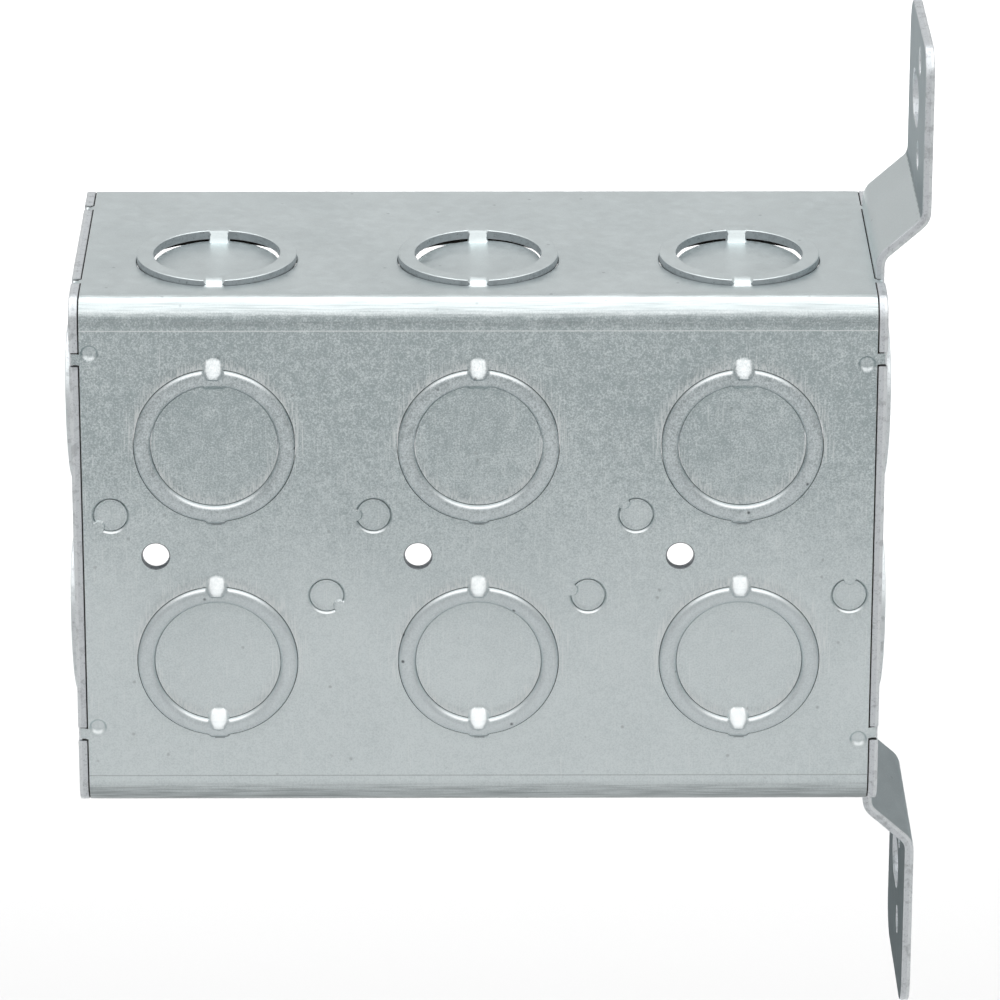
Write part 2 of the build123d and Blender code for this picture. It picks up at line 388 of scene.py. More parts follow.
class Knockout:
    """A concentric knockout about (u, v), made of profiles turned round its centre. The collar is the
    sheet's rim, the ring stands proud of it and the slug lies in the ring. Along a tie the step between
    two neighbours becomes one climb, the same in both, so they meet there. near says at which end of v,
    +1 or -1, the ring's near tie lies, and slug_ties holds the directions of the slug's ties."""

    def __init__(self, centre, pressing, slug_ties, near=-1):
        self.centre = centre
        self.pressing = pressing
        self.slug_ties = slug_ties
        self.angles = polar_angles(ring_ties)[None, :]
        self.upper = np.sin(self.angles) > 0
        towards_near = near * np.sin(self.angles)
        dip = pressing.sag * np.exp((towards_near - 1) / sag_spread)
        self.ring_level = pressing.rise - pressing.lean * towards_near - dip

    def slug_level(self, radius):
        """Height of the slug's face: a parabola along v that rises to both ends."""
        share = radius / slug_radius * np.sin(self.angles)
        return self.pressing.bow * share ** 2 - self.pressing.sink

    def dome(self, radius):
        """Crown of a tie: a parabola across it."""
        across = radius * np.cos(self.angles) / (self.pressing.tie_half_width + crown_margin)
        return self.pressing.crown * np.clip(1 - across ** 2, 0, 1)

    def tie_lengths(self, ties):
        """Foot and crest of the tie in the same half as each angle."""
        (upper_foot, upper_crest), (lower_foot, lower_crest) = ties
        return np.where(self.upper, upper_foot, lower_foot), np.where(self.upper, upper_crest, lower_crest)

    def window(self, radius, directions, run):
        """1 on each tie and 0 beside it: a smooth step of width tie_edge on the distance across the tie,
        on its own side only. run goes from 0 to 1 along the tie, and the tie's plan is a superellipse."""
        edge, power = self.pressing.tie_edge, self.pressing.tie_power
        middle = np.abs(2 * np.clip(run, 0, 1) - 1)
        half_width = self.pressing.tie_half_width * (1 - middle ** power) ** (1 / power)
        window = np.zeros(np.broadcast(radius, self.angles).shape)
        for direction in directions:
            across = np.abs(radius * np.sin(self.angles - direction))
            here = smooth(across, half_width, half_width - edge) * (np.cos(self.angles - direction) > 0)
            window = np.maximum(window, here)
        return window

    def outer_run(self, radius):
        """Place along a tie of the ring: 0 at its foot on the collar, 1 at its top on the ring."""
        foot, crest = self.tie_lengths(self.pressing.outer_ties)
        return (ring_radius + foot - radius) / (foot + crest)

    def inner_run(self, radius):
        """Place along a tie of the slug: 0 at its foot on the slug, 1 at its top on the ring."""
        foot, crest = self.tie_lengths(self.pressing.inner_ties)
        return (radius - slug_radius + foot) / (foot + crest)

    def outer_tie(self, radius):
        """Height along the ring's ties. The slope of the upper one faces +v, so it is the crowned one."""
        return tie_height(self.outer_run(radius), 0, self.ring_level, self.dome(radius) * self.upper)

    def inner_tie(self, radius):
        """Height along the slug's ties. The slope of the lower one faces +v, so it is the crowned one."""
        crown = self.dome(radius) * ~self.upper
        return tie_height(self.inner_run(radius), self.slug_level(radius), self.ring_level, crown)

    def outer_window(self, radius):
        """Window of the ring's ties."""
        return self.window(radius, ring_ties, self.outer_run(radius))

    def inner_window(self, radius):
        """Window of the slug's ties."""
        return self.window(radius, self.slug_ties, self.inner_run(radius))

    def add_collar(self, blank):
        """Outer face, rolled rim, wall and inner face, lifted along the ring's ties. The wall is painted
        dark as shade in the gap under the ring. Between the ties the rim is drawn up by a parabola. The foot
        of a crowned ring's lower tie takes the torn wall's grey as painted shade."""
        edge_depth = collar_edge[1]
        back, down = quarter_round(*collar_edge)
        wall = np.append(wall_rows(edge_depth, sheet), sheet)
        rim = ring_radius + back
        radius = np.concatenate([collar_rows, rim, 0 * wall + ring_radius, collar_rows[::-1]])
        depth = np.concatenate([0 * collar_rows, down, wall, 0 * collar_rows + sheet])
        bands = (len(collar_rows) + len(back) - 1, len(wall), len(collar_rows))
        # The collar's wall is painted dark as shade in the gap under the ring
        finish = np.repeat([SKIN, CREVICE_SHADE, SKIN], bands)
        radius, depth = radius[:, None], depth[:, None]
        outside = self.outer_window(radius)
        drawn = np.clip((ring_radius + collar_lip_reach - radius) / collar_lip_reach, 0, 1)
        depth = np.where(depth <= edge_depth, depth * (1 - outside), depth)
        height = self.pressing.lip * drawn ** 2 * (1 - outside) + self.outer_tie(radius) * outside - depth
        # The foot of a crowned ring's lower tie takes the torn wall's grey as painted shade
        if self.pressing.crown:
            foot = outside * ~self.upper * (radius < ring_radius + dark_foot) > dark_foot_share
            finish = np.where(foot[:-1] & foot[1:], TORN_SHADED, finish[:, None])
        blank.add_turned(self.centre, self.angles, radius, height, finish)

    def add_ring(self, blank, face_finish, wall_finish):
        """A closed section with rolled upper edges and broken lower ones, lowered to the sheet along the
        ring's ties and to the slug along the slug's."""
        reach, drop = self.pressing.roll
        gap = self.pressing.gap
        under_width, under_height = ring_under_edge
        back, down = quarter_round(reach, drop, 6)
        outer = ring_radius - gap
        inner = slug_radius + gap / 2
        middle = (outer + inner) / 2
        wall = np.append(wall_rows(drop, sheet - under_height), sheet - under_height)
        outer_side = np.concatenate([outer - back, 0 * wall + outer, [outer - under_width]])
        inner_side = np.concatenate([[inner + under_width], 0 * wall + inner, inner + back[::-1]])
        down_side = np.concatenate([down, wall, [sheet]])
        radius = np.concatenate([[middle], outer_side, [middle], inner_side])
        depth = np.concatenate([[0], down_side, [sheet], down_side[::-1]])
        bands = (len(back), len(wall) + 1, 2, len(wall) + 1, len(back))
        finish = np.repeat([face_finish, wall_finish, SKIN, wall_finish, face_finish], bands)
        radius, depth = radius[:, None], depth[:, None]
        outside = self.outer_window(radius)
        inside = self.inner_window(radius) * (1 - outside)
        radius = radius + gap * outside - gap / 2 * inside
        free = 1 - outside - inside
        level = self.ring_level * free + self.outer_tie(radius) * outside + self.inner_tie(radius) * inside
        height = level - np.where(depth < drop, depth * free, depth)
        blank.add_turned(self.centre, self.angles, radius, height, finish, closed_rows=True)

    def add_slug(self, blank, tilt):
        """A disc whose rim is drawn up by a parabola, sloped by tilt along u and raised to the ring along
        its ties. There it reaches tie_overlap into the ring, so ring and slug stay closed shells of their
        own."""
        edge_depth = slug_edge[1]
        back, down = quarter_round(*slug_edge)
        edge = slug_radius - self.pressing.gap / 2
        wall = np.append(wall_rows(edge_depth, sheet), sheet)
        radius = np.concatenate([slug_rows, edge - back, 0 * wall + edge, slug_rows[::-1]])[:, None]
        depth = np.concatenate([0 * slug_rows, down, wall, 0 * slug_rows + sheet])[:, None]
        # The slug's wall is torn steel painted darker as shade in the gap
        finish = np.repeat([SKIN, TORN_SHADED, SKIN], (len(slug_rows) + len(back) - 1, len(wall), len(slug_rows)))
        inside = self.inner_window(radius)
        radius = radius + (self.pressing.gap / 2 + tie_overlap) * inside * (radius > slug_rows[-1])
        drawn = np.clip((radius - slug_radius + slug_lip_reach) / slug_lip_reach, 0, 1)
        depth = np.where(depth <= edge_depth, depth * (1 - inside), depth)
        free_level = self.slug_level(radius) + self.pressing.lip * drawn ** 2
        height = free_level * (1 - inside) + self.inner_tie(radius) * inside - depth
        height = height + radius * tilt * np.cos(self.angles) * (1 - inside)
        blank.add_turned(self.centre, self.angles, radius, height, finish)


# By default a ring's wall is torn steel painted darker as shade in the gap
def add_knockout(blank, ring_blank, knockout, tilt=0.0, face_finish=SKIN, wall_finish=TORN_SHADED):
    """A knockout's collar goes to the sheet's blank, and its ring and slug to a blank of their own.
    Returns the loop that the sheet leaves free for the collar."""
    knockout.add_collar(blank)
    knockout.add_ring(ring_blank, face_finish, wall_finish)
    knockout.add_slug(ring_blank, tilt)
    return circle_loop(knockout.centre, collar_radius, knockout.angles[0])


def nail_knockout(blank, centre, tie):
    """A small disc pushed nail_sink into the sheet: one profile from the sheet's rolled rim down a narrow
    groove, up to the disc's rim, over the dished disc and back along the inside. Within nail_tie_radius
    of the rim's point at the tie the profile is a shallow slope instead, so the tie bites a round piece
    out of the disc. Returns the loop that the sheet leaves free."""
    direction = math.radians(tie)
    angles = nail_angles(tie)
    radius, depth = np.concatenate([nail_face, nail_inside + (0, sheet)]).T[:, :, None]
    along = radius * np.cos(angles - direction) - nail_radius
    from_tie = np.hypot(along, radius * np.sin(angles - direction))
    bite = smooth(from_tie, nail_tie_radius + nail_tie_edge, nail_tie_radius - nail_tie_edge)
    start, stop = nail_tie_slope
    slope = nail_tie_drop * smooth(radius, nail_radius + start, nail_radius + stop)
    slope = slope + sheet * (depth >= sheet)
    height = -(depth * (1 - bite) + slope * bite)
    blank.add_turned(centre, angles, radius, height, SKIN)
    return circle_loop(centre, nail_collar, angles)


def dent(blank, centre):
    """A round punch mark on the outer face alone: a flat floor with a steep rim that fades into the
    sheet, and a longer slope from the floor down to the lower rim. Returns the loop that the sheet leaves
    free."""
    radius = dent_rows[:, None]
    foot = dent_radius - dent_wall - dent_slope * np.clip(-np.sin(round_angles), 0, 1)
    height = -dent_depth * smooth(radius, dent_radius + dent_lip, foot)
    height = height - dent_fade * smooth(radius, dent_reach, dent_radius)
    blank.add_turned(centre, round_angles, radius, height, SKIN)
    return circle_loop(centre, dent_reach, round_angles)


def divided(loop, step):
    """A closed loop with its sides divided to stretches no longer than step."""
    parts = []
    for start, end in zip(loop, np.roll(loop, -1, axis=0)):
        count = max(1, math.ceil(np.linalg.norm(end - start) / step))
        parts.append(start + (end - start) * (np.arange(count) / count)[:, None])
    return np.concatenate(parts)


def inset(loop, distance):
    """A closed anticlockwise loop moved inwards: each point goes along the mitre of the sides beside
    it."""
    side = np.roll(loop, -1, axis=0) - loop
    side = side / np.linalg.norm(side, axis=1, keepdims=True)
    normal = np.stack([-side[:, 1], side[:, 0]], -1)
    before = np.roll(normal, 1, axis=0)
    mitre = (normal + before) / (1 + np.sum(normal * before, axis=1, keepdims=True))
    return loop + distance * mitre


def within(loop, points):
    """Even-odd test: whether a ray from each point to +u crosses a closed loop an odd number of times."""
    a, b = loop[:, None, :], np.roll(loop, -1, axis=0)[:, None, :]
    v = points[None, :, 1]
    straddles = (a[..., 1] > v) != (b[..., 1] > v)
    height = np.where(b[..., 1] == a[..., 1], 1, b[..., 1] - a[..., 1])
    cross = a[..., 0] + (v - a[..., 1]) / height * (b[..., 0] - a[..., 0])
    return np.sum(straddles & (points[None, :, 0] < cross), axis=0) % 2 == 1


def triangulated(loops, lattice):
    """Delaunay triangles inside the first loop and outside the others, on the loops' points and on those
    points of a lattice that lie clear of every loop."""
    keep = within(inset(loops[0], outline_clearance), lattice)
    for loop in loops[1:]:
        middle = loop.mean(axis=0)
        reach = np.linalg.norm(loop - middle, axis=1).max() + loop_clearance
        keep &= np.linalg.norm(lattice - middle, axis=1) > reach
    points = np.concatenate([*loops, lattice[keep]])
    edges = []
    start = 0
    for loop in loops:
        numbers = start + np.arange(len(loop))
        edges.append(np.stack([numbers, np.roll(numbers, -1)], -1))
        start += len(loop)
    found = delaunay_2d_cdt(points.tolist(), np.concatenate(edges).tolist(), [], 0, delaunay_limit)
    points, triangles = np.array(found[0])[:, :2], np.array(found[2])
    centres = points[triangles].mean(axis=1)
    inside = within(loops[0], centres)
    for loop in loops[1:]:
        inside &= ~within(loop, centres)
    return points, triangles[inside]


def add_sheet(blank, outline, holes, patches, lattice, tapped=False, seam_shade=(np.inf, np.inf),
              ear_shade=(np.inf, np.inf)):
    """The flat of a blank on both faces, with the sheared walls of its outline and holes. outline and
    holes are true edges, drawn anticlockwise, and their walls are rolled over edge_rim at each face.
    patches are loops that other patches fill, as (loop, whether the inner face has it too). tapped says
    whether the holes are. Walls of the outline that lie between the two distances of the seam's pair from
    u = 0 are painted dark as shade in the seam. The ears' pair gives where duller zinc painted darker as
    shade lies: below v = minus its first value on the outer face, and beyond its second from v = 0 on the
    inner face, with a darker painted shade at the bottom."""
    skin_outline = inset(outline, edge_rim)
    skin_holes = [inset(hole, -edge_rim) for hole in holes]
    outer_loops = [loop for loop, _ in patches]
    inner_loops = [loop for loop, both in patches if both]
    for depth, loops in ((0, outer_loops), (sheet, inner_loops)):
        points, triangles = triangulated([skin_outline, *skin_holes, *loops], lattice)
        heights = points[triangles].mean(axis=1)[:, 1]
        # The ears take duller zinc painted darker as shade, and the lower ear's inner face a darker painted
        # shade
        if depth:
            finish = np.select([heights > ear_shade[1], heights < -ear_shade[1]], [DULL_SHADED, LOWER_EAR_SHADE], SKIN)
        else:
            finish = np.where(heights < -ear_shade[0], DULL_SHADED, SKIN)
        blank.add(np.column_stack([points, np.full(len(points), -depth)]), triangles, finish)

    roll_bands, wall_bands = 3, 6
    back, down = quarter_round(edge_rim, edge_rim, roll_bands)
    wall = wall_rows(edge_rim, sheet - edge_rim, wall_bands)
    depth = np.concatenate([down, wall, sheet - down[::-1]])[:, None]
    share = 1 - back / edge_rim
    share = np.concatenate([share, np.ones(len(wall)), share[::-1]])[:, None, None]
    sheared = np.concatenate([np.full(roll_bands, BURNISHED), sheared_finish(wall_bands),
                              np.full(roll_bands, FRACTURED)])
    # Walls of the outline in the seam are painted dark as shade
    off_middle = np.abs(outline[:, 0])
    in_seam = (off_middle > seam_shade[0]) & (off_middle < seam_shade[1])
    edges = [(skin_outline, outline, np.where(in_seam, CREVICE_SHADE, sheared[:, None]))]
    edges += [(skin, hole, TAPPED if tapped else sheared) for skin, hole in zip(skin_holes, holes)]
    for skin, edge, finish in edges:
        path = skin[None] + (edge - skin)[None] * share
        blank.add_rows(path[..., 0], path[..., 1], 0 * path[..., 0] - depth, finish)


def make_piece(name, blank, fold, materials):
    """One mesh object from a folded blank: points merged, faces turned outwards, shaded smooth but for
    edges that are sharper than smooth_limit."""
    faces = []
    for patch in blank.faces:
        faces.extend(patch.tolist())
    mesh = bpy.data.meshes.new(name)
    mesh.from_pydata(fold(*np.concatenate(blank.points).T), [], faces)
    mesh.polygons.foreach_set("material_index", np.concatenate(blank.finishes).astype(np.int32))
    work = bmesh.new()
    work.from_mesh(mesh)
    bmesh.ops.remove_doubles(work, verts=work.verts, dist=merge_distance)
    bmesh.ops.dissolve_degenerate(work, edges=work.edges, dist=collapse_distance)
    bmesh.ops.recalc_face_normals(work, faces=work.faces)
    work.to_mesh(mesh)
    work.free()
    mesh.shade_smooth()
    mesh.set_sharp_from_angle(angle=math.radians(smooth_limit))
    for material in materials:
        mesh.materials.append(material)
    piece = bpy.data.objects.new(name, mesh)
    bpy.context.scene.collection.objects.link(piece)
    weighted = piece.modifiers.new("even_shading", "WEIGHTED_NORMAL")
    weighted.keep_sharp = True
    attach(piece, "root")
    return piece


def side_run(y):
    """Length along the section to depth y on the top or bottom."""
    return side_start + y + box_depth - back_bend


def body_outline():
    """The body's flat blank: a rectangle whose ends carry staking tabs, drawn anticlockwise."""
    near, far = (side_run(mid_depth + sign * edge_tab_shift) for sign in (-1, 1))
    tabs = np.array([-far, -near, back_tab_heights[-1], back_tab_heights[1], near, far])
    end = np.array([[0, -1], [1, -1], [1, 1], [0, 1]]) * (sheet - tab_short, tab_width / 2)
    right = (np.stack([0 * tabs + half_length, tabs], -1)[:, None, :] + end[None]).reshape(-1, 2)
    corners = np.array([[half_length, -section_end], *right, [half_length, section_end]])
    return np.concatenate([corners, corners[::-1] * (-1, 1)])


def plate_outline(ears):
    """An end plate's flat blank: a rounded rectangle notched for the tabs, with ears on the long ends if
    asked. Each half is drawn from the mouth to the back, the lower one mirrored; the ears' lengths and
    the back's notches differ."""
    half_notch = tab_width / 2 + tab_clearance
    notch_depth = sheet + tab_clearance
    floor = half_height - notch_depth
    front, rear = mid_depth + edge_tab_shift, mid_depth - edge_tab_shift
    ear_front, ear_rear = mid_depth + ear_width / 2, mid_depth - ear_width / 2
    halves = {}
    for up in (1, -1):
        half = [arc_points((-mouth_bend, half_height - mouth_bend), mouth_bend, 0, 90)]
        half.append([[front + half_notch, half_height], [front + half_notch, floor]])
        if ears:
            top = half_height + ear_lengths[up] + ear_extra
            half.append([[ear_front, floor]])
            half.append(arc_points((ear_front - ear_corner, top - ear_corner), ear_corner, 0, 90, 12))
            half.append(arc_points((ear_rear + ear_corner, top - ear_corner), ear_corner, 90, 180, 12))
            half.append([[ear_rear, floor]])
        else:
            half.append([[front - half_notch, floor], [front - half_notch, half_height]])
            half.append([[rear + half_notch, half_height], [rear + half_notch, floor]])
        half.append([[rear - half_notch, floor], [rear - half_notch, half_height]])
        half.append(arc_points((back_bend - box_depth, half_height - back_bend), back_bend, 90, 180))
        halves[up] = np.concatenate(half)
    notch = np.array([[0, 1], [1, 1], [1, -1], [0, -1]]) * (notch_depth, half_notch)
    back_notches = [notch + (-box_depth, back_tab_heights[up]) for up in (1, -1)]
    return np.concatenate([halves[1], *back_notches, halves[-1][::-1] * (1, -1)])


def make_body(materials):
    """The folded body with its knockouts, nail knockouts, holes, tabs and punch marks."""
    blank, rings = Blank(), Blank()
    loops = []
    side_v = side_run(knockout_y)
    side_pressings = {1: side_pressing, -1: mirrored_pressing}
    for u, tilt in zip(gang_centres, slug_tilts):
        for up in (1, -1):
            back = Knockout((u, row_heights[up]), back_pressing, (up * QUARTER,))
            side = Knockout((u, up * side_v), side_pressings[up], ring_ties, near=-up)
            loops.append((add_knockout(blank, rings, back, face_finish=RUBBED), True))
            loops.append((add_knockout(blank, rings, side, tilt), True))
    for up in (1, -1):
        for u, tie in zip(gang_centres + nail_shifts[up], nail_ties[up]):
            loops.append((nail_knockout(blank, (u, nail_heights[up]), tie), True))
    for end, height in dent_places:
        loops.append((dent(blank, (end * (half_length - dent_reach - dent_margin), height)), False))
    screw_v = flange_start + device_screw_inset - mouth_bend
    holes = [circle_loop((u + back_hole_shift, back_hole_height), back_hole_radius, round_angles)
             for u in gang_centres]
    holes += [circle_loop((u, up * screw_v), device_screw_radius, round_angles)
              for u in gang_centres for up in (1, -1)]

    # Rows of the lattice, close together on the bends
    rows = np.concatenate([np.linspace(back_end, side_start, 15), np.linspace(side_end, flange_start, 11),
                           np.linspace(0, back_end, 15)[:-1], np.linspace(side_start, side_end, 20)[1:-1],
                           np.linspace(flange_start, section_end, 4)[1:-1]])
    rows = np.unique(np.concatenate([-rows, rows]))
    columns = np.linspace(lattice_margin - half_length, half_length - lattice_margin, 46)
    lattice = np.stack(np.meshgrid(columns, rows), -1).reshape(-1, 2)
    add_sheet(blank, divided(body_outline(), edge_step), holes, loops, lattice, tapped=True,
              seam_shade=(half_length + seam_shade_reach[0], half_length + seam_shade_reach[1]))
    for points in blank.points:
        pressed = smooth(np.abs(points[:, 0]), *(half_length + reach for reach in tab_press_root))
        uneven = 1 + tab_press_change * np.sin(tab_press_wave * points[:, 1])
        points[:, 2] -= pressed * tab_press * uneven
    body = make_piece("body_sheet", blank, fold_body, materials)
    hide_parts("body")
    make_piece("body_knockouts", rings, fold_body, materials)


def make_end_plate(side, materials):
    """An end plate with its two knockouts, and on the right the ears with their slots and holes."""
    blank, rings = Blank(), Blank()
    ears = side > 0
    loops, holes = [], []
    slot_half = (ear_slot_length - ear_slot_width) / 2
    for up in (1, -1):
        knockout = Knockout((knockout_y, row_heights[up]), side_pressing, ring_ties)
        loops.append((add_knockout(blank, rings, knockout, wall_finish=BURNISHED), True))
        if ears:
            holes += [circle_loop((mid_depth + ear_hole_shift, up * (half_height + reach + ear_extra)),
                                  ear_hole_radius, round_angles) for reach in ear_hole_reaches]
            slot_u = mid_depth + ear_slot_shift
            slot_v = up * (half_height + ear_slot_reach + ear_extra)
            slot_end = ear_slot_width / 2
            ends = [arc_points((slot_u + end * slot_half, slot_v), slot_end, start, start + 180, 16)
                    for end, start in ((1, -90), (-1, 90))]
            holes.append(divided(np.concatenate(ends), slot_step))

    # Rows of the lattice, close together on the ears' bends
    rows = np.linspace(-half_height, half_height, 33)
    if ears:
        longest = half_height + ear_lengths[-1] + ear_extra
        ear_rows = np.concatenate([np.linspace(ear_bend_start, ear_slant_start, 9),
                                   np.linspace(ear_slant_start, ear_bend_back, 4)[1:-1],
                                   np.linspace(ear_bend_back, ear_flat_start, 9),
                                   np.linspace(ear_flat_start, longest, 11)[1:]])
        rows = np.unique(np.concatenate([rows, ear_rows - ear_drop, -ear_rows - ear_drop]))
    lattice = np.stack(np.meshgrid(np.linspace(-box_depth, 0, 23), rows), -1).reshape(-1, 2)
    outline = divided(plate_outline(ears), edge_step)
    add_sheet(blank, outline, holes, loops, lattice, ear_shade=(ear_bend_start, ear_bend_back))
    name = "right_end" if ears else "left_end"
    plate = make_piece(name + "_sheet", blank, fold_plate(side), materials)
    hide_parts(name + "_plate")
    make_piece(name + "_knockouts", rings, fold_plate(side), materials)


def linear(code):
    """Linear colour of an sRGB hex value."""
    channels = np.array([int(code[i:i + 2], 16) for i in (1, 3, 5)]) / 255
    low, high = channels / 12.92, ((channels + 0.055) / 1.055) ** 2.4
    return (*np.where(channels <= 0.04045, low, high), 1.0)


def node(tree, kind, inputs=None, **settings):
    """Adds one shader node of a kind. settings are its properties; inputs holds, by an input's name or
    number, a value, an output to link, or a node whose first output is linked."""
    made = tree.nodes.new("ShaderNode" + kind)
    for key, value in settings.items():
        setattr(made, key, value)
    for key, value in (inputs or {}).items():
        if isinstance(value, bpy.types.Node):
            value = value.outputs[0]
        if isinstance(value, bpy.types.NodeSocket):
            tree.links.new(made.inputs[key], value)
        else:
            made.inputs[key].default_value = value
    return made


def metal(name, roughness):
    """A new metal material: the material, its node tree, its shader and its coordinates, in metres in the
    part's frame."""
    material = bpy.data.materials.new(name)
    material.use_nodes = True
    tree = material.node_tree
    shader = tree.nodes["Principled BSDF"]
    shader.inputs["Metallic"].default_value = 1.0
    shader.inputs["Roughness"].default_value = roughness
    return material, tree, shader, node(tree, "TexCoord").outputs["Object"]


def dark_flecks(tree, place, share):
    """Where the zinc has dark flecks: the middles of a quarter of the cells, 3.2 mm wide, of a cell
    pattern."""
    cells = node(tree, "TexVoronoi", {"Vector": place, "Scale": 1 / (3.2 * MM)})
    fleck = node(tree, "MapRange", {"Value": cells, "From Min": 0.13, "From Max": 0.05, "To Max": share})
    chance = node(tree, "SeparateColor", {"Color": cells.outputs["Color"]})
    chosen = node(tree, "Math", {0: chance, 1: 0.75}, operation="GREATER_THAN")
    return node(tree, "Math", {0: fleck, 1: chosen}, operation="MULTIPLY")


def scratches_and_painted_highlight(tree, place, split, on_back):
    """Where the zinc is scratched: streaks 0.28 mm wide and 6 mm high. On the back they are denser over the
    upper side of each ring and along each slug's lower rim, as a painted highlight. x wrapped by the pitch
    and z mirrored about the middle of the two rows give the place beside the nearest knockout's centre."""
    stretched = node(tree, "Mapping",
                     {"Vector": place, "Scale": (1 / (0.28 * MM), 1 / (0.28 * MM), 1 / (6 * MM))})
    streaks = node(tree, "TexNoise", {"Vector": stretched, "Scale": 1.0, "Detail": 2.0})
    half_pitch = gang_pitch / 2 * MM
    across = node(tree, "Math", {0: split.outputs["X"], 1: half_pitch, 2: -half_pitch}, operation="WRAP")
    above = node(tree, "Math", {0: split.outputs["Z"], 1: row_middle * MM}, operation="SUBTRACT")
    beyond = node(tree, "Math", {0: above}, operation="ABSOLUTE")
    beyond = node(tree, "Math", {0: beyond, 1: row_half * MM}, operation="SUBTRACT")
    row = node(tree, "Math", {0: above}, operation="SIGN")
    rise = node(tree, "Math", {0: beyond, 1: row}, operation="MULTIPLY")
    centred = node(tree, "CombineXYZ", {"X": across, "Z": beyond})
    radius = node(tree, "VectorMath", {0: centred}, operation="LENGTH").outputs["Value"]

    # Painted highlight over the upper side of a ring: strongest at its edge, fading to the collar's
    around = node(tree, "MapRange",
                  {"Value": radius, "From Min": collar_radius * MM, "From Max": ring_radius * MM})
    in_ring = node(tree, "Math", {0: radius, 1: ring_radius * MM}, operation="LESS_THAN")
    around = node(tree, "Math", {0: around, 1: in_ring}, operation="SUBTRACT")
    upper = node(tree, "MapRange", {"Value": rise, "From Min": -8 * MM, "From Max": 3 * MM})
    halo = node(tree, "Math", {0: around, 1: upper}, operation="MULTIPLY")

    # Painted highlight on the lower rim of a slug: strongest at its edge, fading over 2.2 mm
    rim = node(tree, "MapRange",
               {"Value": radius, "From Min": (slug_radius - 2.2) * MM, "From Max": slug_radius * MM})
    lower = node(tree, "MapRange", {"Value": rise, "From Min": 5 * MM, "From Max": -6 * MM})
    in_slug = node(tree, "Math", {0: radius, 1: slug_radius * MM}, operation="LESS_THAN")
    rim = node(tree, "Math", {0: rim, 1: lower}, operation="MULTIPLY")
    rim = node(tree, "Math", {0: rim, 1: in_slug}, operation="MULTIPLY")

    # Painted highlight over the rings' upper sides and the slugs' lower rims, on the back only
    painted_highlight = node(tree, "Math", {0: halo, 1: rim}, operation="MAXIMUM")
    painted_highlight = node(tree, "Math", {0: painted_highlight, 1: on_back}, operation="MULTIPLY")
    density = node(tree, "Math", {0: painted_highlight, 1: 0.3, 2: streaks}, operation="MULTIPLY_ADD")
    return node(tree, "MapRange", {"Value": density, "From Min": 0.61, "From Max": 0.88, "To Max": 0.8})


def painted_slope_highlight(tree, on_back):
    """Painted highlight: where a slope of the back faces up, it is painted near white."""
    place = node(tree, "TexCoord")
    normal = node(tree, "SeparateXYZ", {"Vector": place.outputs["Normal"]})
    steep = node(tree, "MapRange",
                 {"Value": normal.outputs["Z"], "From Min": 0.4, "From Max": 0.66, "To Max": 0.7})
    return node(tree, "Math", {0: steep, 1: on_back}, operation="MULTIPLY")


def bend_streaks_and_painted_shade(tree, place, split):
    """Where the bends beside the back are streaked along the box, and where the lower one has painted shade
    as well, darker towards the bottom. Both follow streaks 9 mm long and 0.35 mm high."""
    stretched = node(tree, "Mapping",
                     {"Vector": place, "Scale": (1 / (9 * MM), 1 / (0.35 * MM), 1 / (0.35 * MM))})
    streaks = node(tree, "TexNoise", {"Vector": stretched, "Scale": 1.0, "Detail": 2.0})
    rear = node(tree, "MapRange", {"Value": split.outputs["Y"], "From Min": rear_depths[0] * MM,
                                   "From Max": rear_depths[1] * MM})
    off_middle = node(tree, "Math", {0: split.outputs["Z"]}, operation="ABSOLUTE")
    off_middle = node(tree, "MapRange",
                      {"Value": off_middle, "From Min": back_end * MM, "From Max": (back_end + 1) * MM})
    on_bend = node(tree, "Math", {0: rear, 1: off_middle}, operation="MULTIPLY")
    drawn = node(tree, "MapRange", {"Value": streaks, "From Min": 0.42, "From Max": 0.7, "To Max": 0.4})
    drawn = node(tree, "Math", {0: drawn, 1: on_bend}, operation="MULTIPLY", use_clamp=True)
    # Painted shade on the lower bend, darker towards the bottom and broken by the streaks
    lowest = node(tree, "MapRange", {"Value": split.outputs["Z"], "From Min": -42.4 * MM,
                                     "From Max": -47 * MM, "To Max": 0.66})
    lower_bend_shade = node(tree, "Math", {0: lowest, 1: rear}, operation="MULTIPLY")
    shade_streaks = node(tree, "MapRange", {"Value": streaks, "From Min": 0.3, "From Max": 0.65, "To Min": 0.55})
    lower_bend_shade = node(tree, "Math", {0: lower_bend_shade, 1: shade_streaks}, operation="MULTIPLY")
    return drawn, lower_bend_shade


